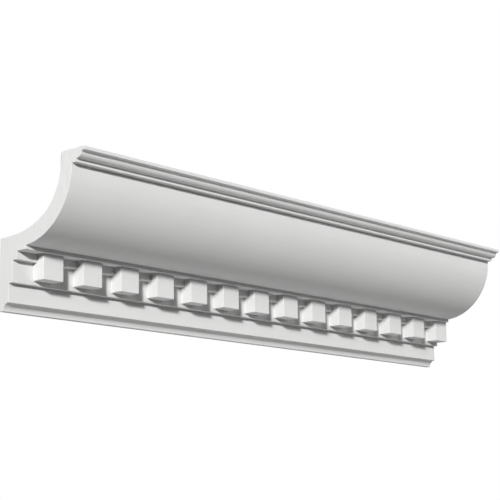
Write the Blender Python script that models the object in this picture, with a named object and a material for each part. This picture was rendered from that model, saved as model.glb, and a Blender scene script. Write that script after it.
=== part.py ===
"""Cast cornice: one length of moulding with a run profile, a dentil course and a hollow back.

The length runs along X, centred on the origin. The wall is the plane Y = 0 and the cornice stands
out from it towards -Y. Z is up. The origin is the middle of the flat face that is bonded to the wall.

A profile point is written (out, down): its distance out from the wall, and its depth below the
ceiling. Sizes are in metres and angles in degrees.
"""
import math

import bmesh
import bpy

NODE_NAME = "cornice"

# The length, and the row of dentils along it
LENGTH = 1.000
DENTIL_WIDTH = 0.0353
DENTIL_GAP = 0.0361
DENTIL_HEIGHT = 0.0356
DENTIL_SETBACK = 0.0055
DENTIL_ROOT = 0.006

# Faces bonded to the building, and the hollow left behind the cast shell
CEILING_SEAT = 0.0445
WALL_SEAT = 0.100
HOLLOW_SQUARENESS = 2.5
HOLLOW_STEPS = 28

# Crown of the profile, from the ceiling down
CROWN_HEIGHT = 0.0048
CROWN_UNDERCUT_BACK = 0.0058
CROWN_UNDERCUT_DROP = 0.0016
CROWN_ROUND_RADIUS = 0.0077
CROWN_ROUND_STEPS = 6
CROWN_LEDGE = 0.0022
UPPER_FILLET_HEIGHT = 0.0048
UPPER_FILLET_STEP = 0.0082

# The large ovolo and the fillet under it
OVOLO_LEAD = 0.0010
OVOLO_RADIUS = 0.095
OVOLO_SWEEP = 87.0
OVOLO_STEPS = 32
LOWER_FILLET_HEIGHT = 0.0052
LOWER_FILLET_STEP = 0.0184

# The stepped bands behind the dentils, the frieze, and the cavetto at the foot
UPPER_BAND_HEIGHT = 0.0114
UPPER_BAND_STEP = 0.0082
LOWER_BAND_HEIGHT = 0.0302
LOWER_BAND_STEP = 0.0075
FRIEZE_HEIGHT = 0.0262
FRIEZE_OUT = 0.0189
CAVETTO_RADIUS = 0.0108
CAVETTO_STEPS = 8

PLASTER_COLOUR = (0.80, 0.80, 0.79, 1.0)
PLASTER_ROUGHNESS = 0.75


def arc(centre, radius, start, end, steps):
    """Points round a centre. Angle 0 points out from the wall and 90 points down."""
    points = []
    for step in range(steps + 1):
        angle = math.radians(start + (end - start) * step / steps)
        points.append((centre[0] + radius * math.cos(angle), centre[1] + radius * math.sin(angle)))
    return points


def hollow_curve(reach_out, reach_down):
    """The squared quarter-oval behind the shell, from the wall seat round to the ceiling seat."""
    power = 2 / HOLLOW_SQUARENESS
    points = []
    for step in range(HOLLOW_STEPS + 1):
        angle = math.radians(90 * step / HOLLOW_STEPS)
        points.append((reach_out * math.sin(angle) ** power, reach_down * abs(math.cos(angle)) ** power))
    points[0] = (0.0, reach_down)
    points[-1] = (reach_out, 0.0)
    return points


def crown_points(front_out):
    """Top fascia, its undercut, and the small quarter round, ending at the back of the ledge."""
    back_out = front_out - CROWN_UNDERCUT_BACK
    round_top = CROWN_HEIGHT + CROWN_UNDERCUT_DROP
    centre = (back_out - CROWN_ROUND_RADIUS, round_top)
    points = [(front_out, 0.0), (front_out, CROWN_HEIGHT)]
    points += arc(centre, CROWN_ROUND_RADIUS, 0, 90, CROWN_ROUND_STEPS)
    points.append((centre[0] - CROWN_LEDGE, round_top + CROWN_ROUND_RADIUS))
    return points


def ovolo_points(top):
    """The large quarter round, from the fillet above it down to the fillet below it."""
    centre = (ovolo_centre_out(), top + OVOLO_LEAD)
    return [(centre[0] + OVOLO_RADIUS, top)] + arc(centre, OVOLO_RADIUS, 0, OVOLO_SWEEP, OVOLO_STEPS)


def upper_band_out():
    """Face of the upper band, which the dentils hang in front of."""
    return FRIEZE_OUT + LOWER_BAND_STEP + UPPER_BAND_STEP


def lower_fillet_out():
    """Face of the fillet between the ovolo and the dentils."""
    return upper_band_out() + LOWER_FILLET_STEP


def ovolo_centre_out():
    """Centre of the ovolo, set so that the curve ends on the lower fillet's face."""
    return lower_fillet_out() - OVOLO_RADIUS * math.cos(math.radians(OVOLO_SWEEP))


def profile():
    """The whole outline, from the ceiling's front edge down to the wall and back up the hollow.

    Returns the outline, the depth of the soffit that the dentils hang from, and the total height.
    """
    upper_fillet_out = ovolo_centre_out() + OVOLO_RADIUS + UPPER_FILLET_STEP
    front_out = upper_fillet_out + CROWN_LEDGE + CROWN_ROUND_RADIUS + CROWN_UNDERCUT_BACK
    outline = crown_points(front_out)
    ovolo_top = outline[-1][1] + UPPER_FILLET_HEIGHT
    outline.append((upper_fillet_out, ovolo_top))
    outline += ovolo_points(ovolo_top)

    soffit = outline[-1][1] + LOWER_FILLET_HEIGHT
    outline.append((lower_fillet_out(), soffit))
    face = upper_band_out()
    depth = soffit
    for height, step in ((UPPER_BAND_HEIGHT, UPPER_BAND_STEP), (LOWER_BAND_HEIGHT, LOWER_BAND_STEP)):
        outline += [(face, depth), (face, depth + height)]
        face -= step
        depth += height
    outline.append((face, depth))

    foot = depth + FRIEZE_HEIGHT + CAVETTO_RADIUS
    outline += reversed(arc((face, foot), CAVETTO_RADIUS, 180, 270, CAVETTO_STEPS))
    outline.append((0.0, foot))
    outline += hollow_curve(front_out - CEILING_SEAT, foot - WALL_SEAT)
    return outline, soffit, foot


def to_world(x, point, height):
    """Turn a profile point into world coordinates, with the origin at the middle of the wall seat."""
    out, down = point
    return (x, -out, height - WALL_SEAT / 2 - down)


def link(name, mesh_data):
    """Put a finished bmesh into the scene as an object of its own."""
    mesh = bpy.data.meshes.new(name)
    bmesh.ops.recalc_face_normals(mesh_data, faces=mesh_data.faces)
    mesh_data.to_mesh(mesh)
    mesh_data.free()
    piece = bpy.data.objects.new(name, mesh)
    bpy.context.scene.collection.objects.link(piece)
    return piece


def run_moulding(outline, height):
    """Extrude the outline along the whole length, with a flat cut at each end."""
    shape = bmesh.new()
    ring = [shape.verts.new(to_world(-LENGTH / 2, point, height)) for point in outline]
    end_face = shape.faces.new(ring)
    extruded = bmesh.ops.extrude_face_region(shape, geom=[end_face], use_keep_orig=True)
    moved = [item for item in extruded["geom"] if isinstance(item, bmesh.types.BMVert)]
    bmesh.ops.translate(shape, verts=moved, vec=(LENGTH, 0, 0))
    return link(NODE_NAME, shape)


def dentil_course(soffit, height):
    """One block per dentil, rooted a little way into the soffit and the bands behind it.

    The pitch divides the length evenly: each repeat is a gap and then a block, so the last block
    is flush with the right end and the next length carries on the rhythm.
    """
    count = round(LENGTH / (DENTIL_WIDTH + DENTIL_GAP))
    pitch = LENGTH / count
    front = lower_fillet_out() - DENTIL_SETBACK
    back = FRIEZE_OUT + LOWER_BAND_STEP - DENTIL_ROOT
    shape = bmesh.new()
    for number in range(count):
        right = -LENGTH / 2 + (number + 1) * pitch
        corners = [(front, soffit - DENTIL_ROOT), (front, soffit + DENTIL_HEIGHT),
                   (back, soffit + DENTIL_HEIGHT), (back, soffit - DENTIL_ROOT)]
        near = [shape.verts.new(to_world(right - DENTIL_WIDTH, corner, height)) for corner in corners]
        far = [shape.verts.new(to_world(right, corner, height)) for corner in corners]
        shape.faces.new(near)
        shape.faces.new(reversed(far))
        for side in range(4):
            following = (side + 1) % 4
            shape.faces.new((near[side], far[side], far[following], near[following]))
    course = link("dentil_course", shape)
    course.hide_render = True
    course.display_type = "WIRE"
    return course


def plaster():
    """Matt white cast plaster."""
    material = bpy.data.materials.new("white_plaster")
    material.use_nodes = True
    shader = material.node_tree.nodes["Principled BSDF"]
    shader.inputs["Base Color"].default_value = PLASTER_COLOUR
    shader.inputs["Roughness"].default_value = PLASTER_ROUGHNESS
    shader.inputs["Metallic"].default_value = 0.0
    return material


for old in list(bpy.data.objects):
    bpy.data.objects.remove(old, do_unlink=True)

outline, soffit, height = profile()
cornice = run_moulding(outline, height)
cornice.data.materials.append(plaster())
union = cornice.modifiers.new("dentils", "BOOLEAN")
union.operation = "UNION"
union.solver = "EXACT"
union.object = dentil_course(soffit, height)
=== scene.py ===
"""A cast plaster dentil cornice, photographed from below and from its left end against white.

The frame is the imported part: X along the length, the wall at Y = 0, Z up, in metres. A profile
point is written (out, down): its distance out from the wall and its depth below the ceiling.
"""
import math

import bmesh
import bpy
from mathutils import Euler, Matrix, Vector, noise


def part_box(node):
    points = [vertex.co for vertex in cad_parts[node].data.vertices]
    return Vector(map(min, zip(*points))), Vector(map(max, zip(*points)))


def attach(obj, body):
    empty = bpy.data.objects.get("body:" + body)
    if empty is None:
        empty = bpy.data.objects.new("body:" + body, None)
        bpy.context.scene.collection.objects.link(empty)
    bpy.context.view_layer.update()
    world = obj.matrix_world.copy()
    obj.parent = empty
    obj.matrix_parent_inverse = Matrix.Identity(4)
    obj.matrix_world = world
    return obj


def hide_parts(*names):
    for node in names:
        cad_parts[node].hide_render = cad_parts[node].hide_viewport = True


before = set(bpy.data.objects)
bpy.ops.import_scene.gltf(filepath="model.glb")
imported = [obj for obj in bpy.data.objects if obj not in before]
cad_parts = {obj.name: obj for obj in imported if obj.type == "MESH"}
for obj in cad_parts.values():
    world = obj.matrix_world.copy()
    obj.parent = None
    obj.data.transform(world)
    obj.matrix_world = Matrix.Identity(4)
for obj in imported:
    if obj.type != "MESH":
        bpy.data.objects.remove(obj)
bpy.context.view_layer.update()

# The camera
# It stands low in front of the left end and looks up along the cornice, as the photograph does.
# Its place, direction and lens come from a fit to 76 corners and edges measured on the photograph.
CAMERA_PLACE = (-1.6949, -1.5000, -0.3413)
CAMERA_BEARING = 48.66
CAMERA_PITCH = 11.106
CAMERA_ROLL = -0.867
CAMERA_LENS = 102.76
SENSOR_WIDTH = 36.0

camera = bpy.data.objects.new("camera", bpy.data.cameras.new("camera"))
camera.data.lens = CAMERA_LENS
camera.data.sensor_width = SENSOR_WIDTH
camera.location = CAMERA_PLACE
level = Euler((math.radians(90 + CAMERA_PITCH), 0.0, math.radians(-CAMERA_BEARING))).to_matrix()
camera.rotation_euler = (level @ Euler((0.0, 0.0, math.radians(CAMERA_ROLL))).to_matrix()).to_euler()
bpy.context.scene.collection.objects.link(camera)
bpy.context.scene.camera = camera

# The cornice
# One length cast in gypsum plaster in a flexible mould: crown, quarter round, dentils, bands,
# frieze and foot are a single casting, hollow behind, and sawn square at both ends.
NODE = "cornice"
low_corner, high_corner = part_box(NODE)
LENGTH = high_corner.x - low_corner.x
CEILING = high_corner.z
HEIGHT = high_corner.z - low_corner.z
PROJECTION = high_corner.y - low_corner.y

CEILING_SEAT = 0.0445
WALL_SEAT = 0.100
HOLLOW_SQUARENESS = 2.5
HOLLOW_STEPS = 56

CROWN_HEIGHT = 0.0048
CROWN_UNDERCUT_BACK = 0.0058
CROWN_UNDERCUT_DROP = 0.0016
CROWN_ROUND_RADIUS = 0.0077
CROWN_ROUND_STEPS = 10
CROWN_LEDGE = 0.0022
UPPER_FILLET_HEIGHT = 0.0048
UPPER_FILLET_STEP = 0.0082

OVOLO_LEAD = 0.0010
OVOLO_RADIUS = 0.095
OVOLO_SWEEP = 87.0
OVOLO_STEPS = 60
LOWER_FILLET_HEIGHT = 0.0052

UPPER_BAND_HEIGHT = 0.0114
UPPER_BAND_STEP = 0.0082
LOWER_BAND_HEIGHT = 0.0302
LOWER_BAND_STEP = 0.0075
FRIEZE_OUT = 0.0189
CAVETTO_RADIUS = 0.0108
CAVETTO_STEPS = 12

DENTIL_WIDTH = 0.0353
DENTIL_GAP = 0.0361
DENTIL_HEIGHT = 0.0356
DENTIL_SETBACK = 0.0055
STATION_SPACING = 0.012

# In degrees: an outer edge that turns by more than the first is an arris, and an inner corner that
# turns by more than the second stays sharp
ARRIS_WIDTH = 0.0006
ARRIS_SEGMENTS = 2
ARRIS_LEAST_TURN = 30.0
CORNER_LEAST_TURN = 60.0

# How far the plaster strays from true, and how many waves it does so in to the metre
FACE_UNEVENNESS = 0.00012
BACK_UNEVENNESS = 0.0012
WAVES_ALONG = 9
WAVES_ACROSS = 24
WAVE_FALLOFF = 1.0
WAVE_STEP = 2.0
WAVE_OCTAVES = 3

# Places in the cornice's list of finishes, where the cast face comes first
CUT_FINISH = 1
BACK_FINISH = 2


def arc(centre, radius, start, end, steps):
    """Points round a centre. Angle 0 points out from the wall and 90 points down."""
    turns = [math.radians(start + (end - start) * step / steps) for step in range(steps + 1)]
    return [(centre[0] + radius * math.cos(turn), centre[1] + radius * math.sin(turn)) for turn in turns]


def hollow_curve(reach_out, reach_down):
    """The squared quarter-oval behind the shell, from the wall seat round to the ceiling seat."""
    power = 2 / HOLLOW_SQUARENESS
    turns = [math.radians(90 * step / HOLLOW_STEPS) for step in range(1, HOLLOW_STEPS)]
    inner = [(reach_out * math.sin(turn) ** power, reach_down * math.cos(turn) ** power) for turn in turns]
    return [(0.0, reach_down), *inner, (reach_out, 0.0)]


# The front of the section, from the ceiling down to the soffit that the dentils hang from
lower_band_out = FRIEZE_OUT + LOWER_BAND_STEP
upper_band_out = lower_band_out + UPPER_BAND_STEP
undercut_back = PROJECTION - CROWN_UNDERCUT_BACK
round_top = CROWN_HEIGHT + CROWN_UNDERCUT_DROP
round_centre = (undercut_back - CROWN_ROUND_RADIUS, round_top)
upper_fillet_out = round_centre[0] - CROWN_LEDGE
upper_fillet_top = round_top + CROWN_ROUND_RADIUS
ovolo_top = upper_fillet_top + UPPER_FILLET_HEIGHT
ovolo_front = upper_fillet_out - UPPER_FILLET_STEP
ovolo_centre = (ovolo_front - OVOLO_RADIUS, ovolo_top + OVOLO_LEAD)

above_dentils = [(PROJECTION, 0.0), (PROJECTION, CROWN_HEIGHT)]
above_dentils += arc(round_centre, CROWN_ROUND_RADIUS, 0, 90, CROWN_ROUND_STEPS)
above_dentils += [(upper_fillet_out, upper_fillet_top), (upper_fillet_out, ovolo_top)]
above_dentils.append((ovolo_front, ovolo_top))
above_dentils += arc(ovolo_centre, OVOLO_RADIUS, 0, OVOLO_SWEEP, OVOLO_STEPS)
lower_fillet_out, fillet_top = above_dentils[-1]
soffit = fillet_top + LOWER_FILLET_HEIGHT
above_dentils.append((lower_fillet_out, soffit))

# The two ways down behind and round a dentil, between its front top and back bottom edges
dentil_front = lower_fillet_out - DENTIL_SETBACK
dentil_foot = soffit + DENTIL_HEIGHT
upper_band_foot = soffit + UPPER_BAND_HEIGHT
front_top = (dentil_front, soffit)
back_foot = (lower_band_out, dentil_foot)
behind = [(upper_band_out, soffit), (upper_band_out, upper_band_foot), (lower_band_out, upper_band_foot)]
around = [(dentil_front, dentil_foot)]

# The foot of the section, and the back
frieze_top = upper_band_foot + LOWER_BAND_HEIGHT
below_dentils = [(lower_band_out, frieze_top), (FRIEZE_OUT, frieze_top)]
below_dentils += reversed(arc((FRIEZE_OUT, HEIGHT), CAVETTO_RADIUS, 180, 270, CAVETTO_STEPS))
below_dentils.append((0.0, HEIGHT))
back_outline = hollow_curve(PROJECTION - CEILING_SEAT, HEIGHT - WALL_SEAT)
back_points = {(0.0, HEIGHT), (PROJECTION, 0.0), *back_outline}

gap_outline = [*above_dentils, front_top, *behind, back_foot, *below_dentils, *back_outline]
dentil_outline = [*above_dentils, front_top, *around, back_foot, *below_dentils, *back_outline]
dentil_cheek = [front_top, *around, back_foot, *reversed(behind)]

# Each repeat is a gap and then a dentil, so the last dentil is flush with the right end
repeats = round(LENGTH / (DENTIL_WIDTH + DENTIL_GAP))
pitch = LENGTH / repeats
stations = [low_corner.x]
on_dentil = []
cheek_stations = []
for repeat in range(repeats):
    start = low_corner.x + repeat * pitch
    for is_dentil, near, far in ((False, 0.0, pitch - DENTIL_WIDTH), (True, pitch - DENTIL_WIDTH, pitch)):
        cells = round((far - near) / STATION_SPACING)
        for cell in range(cells):
            stations.append(start + near + (far - near) * (cell + 1) / cells)
            on_dentil.append(is_dentil)
        cheek_stations.append(len(stations) - 1)
cheek_stations.pop()

casting = bmesh.new()
corners = {}


def corner(station, point):
    """The mesh corner for a profile point at a station, made the first time it is asked for."""
    if (station, point) not in corners:
        out, down = point
        corners[station, point] = casting.verts.new((stations[station], -out, CEILING - down))
    return corners[station, point]


for cell, is_dentil in enumerate(on_dentil):
    outline = dentil_outline if is_dentil else gap_outline
    for point, following in zip(outline, outline[1:] + outline[:1]):
        strip = casting.faces.new((corner(cell, point), corner(cell + 1, point),
                                   corner(cell + 1, following), corner(cell, following)))
        if point in back_points and following in back_points:
            strip.material_index = BACK_FINISH
for station in cheek_stations:
    casting.faces.new([corner(station, point) for point in dentil_cheek])
for station, outline in ((0, gap_outline), (len(on_dentil), dentil_outline)):
    cut = casting.faces.new([corner(station, point) for point in outline])
    cut.material_index = CUT_FINISH
bmesh.ops.recalc_face_normals(casting, faces=casting.faces)

# A rubber mould leaves every outer arris slightly round and every inner corner sharp
rounded = casting.edges.layers.float.new("bevel_weight_edge")
for edge in casting.edges:
    if edge.is_convex and edge.calc_face_angle() > math.radians(ARRIS_LEAST_TURN):
        edge[rounded] = 1.0

cornice_mesh = bpy.data.meshes.new("cornice_casting")
casting.to_mesh(cornice_mesh)
casting.free()
cornice = bpy.data.objects.new("cornice_casting", cornice_mesh)
bpy.context.scene.collection.objects.link(cornice)

arris = cornice.modifiers.new("soft_arrises", "BEVEL")
arris.width = ARRIS_WIDTH
arris.segments = ARRIS_SEGMENTS
arris.limit_method = "WEIGHT"
softened = cornice.evaluated_get(bpy.context.evaluated_depsgraph_get())
cornice.data = bpy.data.meshes.new_from_object(softened)
cornice.modifiers.clear()
cornice.data.shade_smooth()
cornice.data.set_sharp_from_angle(angle=math.radians(CORNER_LEAST_TURN))

# A long casting is never quite true, and its back is only struck off
on_back = set()
for face in cornice.data.polygons:
    if face.material_index == BACK_FINISH:
        on_back.update(face.vertices)
moves = []
for vertex in cornice.data.vertices:
    depth = BACK_UNEVENNESS if vertex.index in on_back else FACE_UNEVENNESS
    here = Vector((vertex.co.x * WAVES_ALONG, vertex.co.y * WAVES_ACROSS, vertex.co.z * WAVES_ACROSS))
    wave = noise.fractal(here, WAVE_FALLOFF, WAVE_STEP, WAVE_OCTAVES)
    moves.append(vertex.normal * depth * wave)
for vertex, move in zip(cornice.data.vertices, moves):
    at_seat = vertex.co.y > -ARRIS_WIDTH or vertex.co.z > CEILING - ARRIS_WIDTH
    at_cut = abs(vertex.co.x) > LENGTH / 2 - ARRIS_WIDTH
    if not (at_seat or at_cut):
        vertex.co += move
weighting = cornice.modifiers.new("flat_faces_stay_flat", "WEIGHTED_NORMAL")
weighting.weight = 90
weighting.keep_sharp = True


class Field:
    """A shader socket that can stand in an expression. Each operation on it adds a Math node."""

    def __init__(self, socket):
        self.socket = socket

    def node(self, kind, settings=(), values=(), output=0):
        """Add any other node: its settings first, then the value or the link of each socket."""
        made = self.socket.id_data.nodes.new(kind)
        for name, value in dict(settings).items():
            setattr(made, name, value)
        for name, value in dict(values).items():
            if isinstance(value, Field):
                made.id_data.links.new(value.socket, made.inputs[name])
            else:
                made.inputs[name].default_value = value
        return Field(made.outputs[output])

    def __add__(self, other):
        return self.node("ShaderNodeMath", {"operation": "ADD"}, {0: self, 1: other})

    def __sub__(self, other):
        return self.node("ShaderNodeMath", {"operation": "SUBTRACT"}, {0: self, 1: other})

    def __rsub__(self, other):
        return self.node("ShaderNodeMath", {"operation": "SUBTRACT"}, {0: other, 1: self})

    def __mul__(self, other):
        return self.node("ShaderNodeMath", {"operation": "MULTIPLY"}, {0: self, 1: other})

    def __lt__(self, other):
        return self.node("ShaderNodeMath", {"operation": "LESS_THAN"}, {0: self, 1: other})

    __radd__ = __add__
    __rmul__ = __mul__


# What all the plaster finishes share: soft blotches, and a powdery grain far finer than they are
MOTTLE_SCALE = 14
POWDER_SCALE = 1300
CLOUD_CONTRAST = 2.4
POWDER_SHARE = 0.3
# How much darker each pit is painted: painted shade in the pinholes
PIT_PAINTED_SHADE = 0.3
MOTTLE_MATT = 0.12
POWDER_MATT = 0.08
PLASTER_SPECULAR = 0.25


def plaster(name, light_tone, dark_tone, grain, streaks, pits, roughness):
    """One plaster finish. Streaks are given by their stretch, scale, share of the tone and depth,
    and pits by their scale, size and depth. Those depths and the grain's are in metres."""
    material = bpy.data.materials.new(name)
    material.use_nodes = True
    tree = material.node_tree
    shader = tree.nodes["Principled BSDF"]
    place = Field(tree.nodes.new("ShaderNodeTexCoord").outputs["Object"])

    def cloud(stretch, scale, detail):
        across = place.node("ShaderNodeVectorMath", {"operation": "MULTIPLY"}, {0: place, 1: stretch})
        blotch = place.node("ShaderNodeTexNoise", (), {"Vector": across, "Scale": scale, "Detail": detail})
        return (blotch - 0.5) * CLOUD_CONTRAST + 0.5

    streak_stretch, streak_scale, streak_share, streak_depth = streaks
    pit_scale, pit_size, pit_depth = pits
    mottle = cloud((1, 1, 1), MOTTLE_SCALE, 4)
    powder = cloud((1, 1, 1), POWDER_SCALE, 3)
    drawn = cloud(streak_stretch, streak_scale, 5)
    cells = place.node("ShaderNodeTexVoronoi", (), {"Vector": place, "Scale": pit_scale})
    pit = cells < pit_size
    broad = mottle * (1 - POWDER_SHARE - streak_share) + drawn * streak_share
    # Pits are painted darker, which is painted shade inside the pinholes, besides their real dent in the
    # height below
    lightness = broad + powder * POWDER_SHARE - pit * PIT_PAINTED_SHADE
    tones = {0: lightness, 6: dark_tone, 7: light_tone}
    tone = place.node("ShaderNodeMix", {"data_type": "RGBA"}, tones, output=2)
    height = powder * grain + drawn * streak_depth - pit * pit_depth
    bump = place.node("ShaderNodeBump", (), {"Height": height, "Distance": 1.0, "Strength": 1.0})
    matt = (mottle - 0.5) * MOTTLE_MATT + (powder - 0.5) * POWDER_MATT + roughness
    tree.links.new(tone.socket, shader.inputs["Base Color"])
    tree.links.new(matt.socket, shader.inputs["Roughness"])
    tree.links.new(bump.socket, shader.inputs["Normal"])
    shader.inputs["Specular IOR Level"].default_value = PLASTER_SPECULAR
    return material


cornice.data.materials.append(plaster(
    "cast_plaster_face", (0.615, 0.615, 0.61, 1), (0.575, 0.575, 0.57, 1), grain=0.00001,
    streaks=((0.04, 1, 1), 170, 0.35, 0.000015), pits=(90, 0.03, 0.0001), roughness=0.72))
cornice.data.materials.append(plaster(
    "sawn_plaster_end", (0.63, 0.63, 0.625, 1), (0.565, 0.565, 0.56, 1), grain=0.00001,
    streaks=((1, 1, 0.12), 220, 0.4, 0.00006), pits=(220, 0.12, 0.0003), roughness=0.85))
cornice.data.materials.append(plaster(
    "rough_plaster_back", (0.72, 0.72, 0.71, 1), (0.50, 0.50, 0.49, 1), grain=0.00004,
    streaks=((0.16, 1, 1), 60, 0.45, 0.0009), pits=(95, 0.14, 0.0005), roughness=0.88))

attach(cornice, "root")
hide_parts(NODE)

# The studio
# A pale floor at room height below the cornice, lit through from beneath, and a white surround. A
# distant lamp on the left throws the shadows, softer lamps fill them, and one lights the back.
FLOOR_LEVEL = -2.4
FLOOR_SIZE = 3.0
FLOOR_COLOUR = (0.85, 0.85, 0.85, 1)
FLOOR_ROUGHNESS = 0.9
FLOOR_GLOW = 0.45
SURROUND_SEEN = 1.0
SURROUND_LIGHT = 0.015

bpy.ops.mesh.primitive_plane_add(size=FLOOR_SIZE, location=(0, 0, FLOOR_LEVEL))
floor = bpy.context.object
floor.name = "studio_floor"
floor_paint = bpy.data.materials.new("pale_floor")
floor_paint.use_nodes = True
floor_shader = floor_paint.node_tree.nodes["Principled BSDF"]
floor_shader.inputs["Base Color"].default_value = FLOOR_COLOUR
floor_shader.inputs["Roughness"].default_value = FLOOR_ROUGHNESS
floor_shader.inputs["Emission Color"].default_value = FLOOR_COLOUR
floor_shader.inputs["Emission Strength"].default_value = FLOOR_GLOW
floor.data.materials.append(floor_paint)

world = bpy.data.worlds.new("white_surround")
bpy.context.scene.world = world
world.use_nodes = True
surround = world.node_tree.nodes["Background"]
surround.inputs["Color"].default_value = (1, 1, 1, 1)
seen = Field(world.node_tree.nodes.new("ShaderNodeLightPath").outputs["Is Camera Ray"])
strength = seen * (SURROUND_SEEN - SURROUND_LIGHT) + SURROUND_LIGHT
world.node_tree.links.new(strength.socket, surround.inputs["Strength"])
bpy.context.scene.view_settings.view_transform = "Standard"

# Each lamp's name, its place, the side of its square and its power in watts. All aim at the origin.
LAMPS = (
    ("key_lamp", (-6.30, -4.41, 2.20), 0.62, 930.0),
    ("right_lamp", (1.73, -1.45, 0.82), 1.10, 19.6),
    ("front_lamp", (0.00, -1.97, 1.38), 1.10, 4.8),
    ("low_lamp", (0.58, -1.59, -1.70), 1.10, 3.6),
    ("rear_lamp", (1.50, 1.78, 0.58), 0.70, 62.0),
)
for name, place, size, watts in LAMPS:
    lamp = bpy.data.objects.new(name, bpy.data.lights.new(name, "AREA"))
    lamp.data.size = size
    lamp.data.energy = watts
    lamp.location = place
    lamp.rotation_euler = (-Vector(place)).to_track_quat("-Z", "Y").to_euler()
    bpy.context.scene.collection.objects.link(lamp)
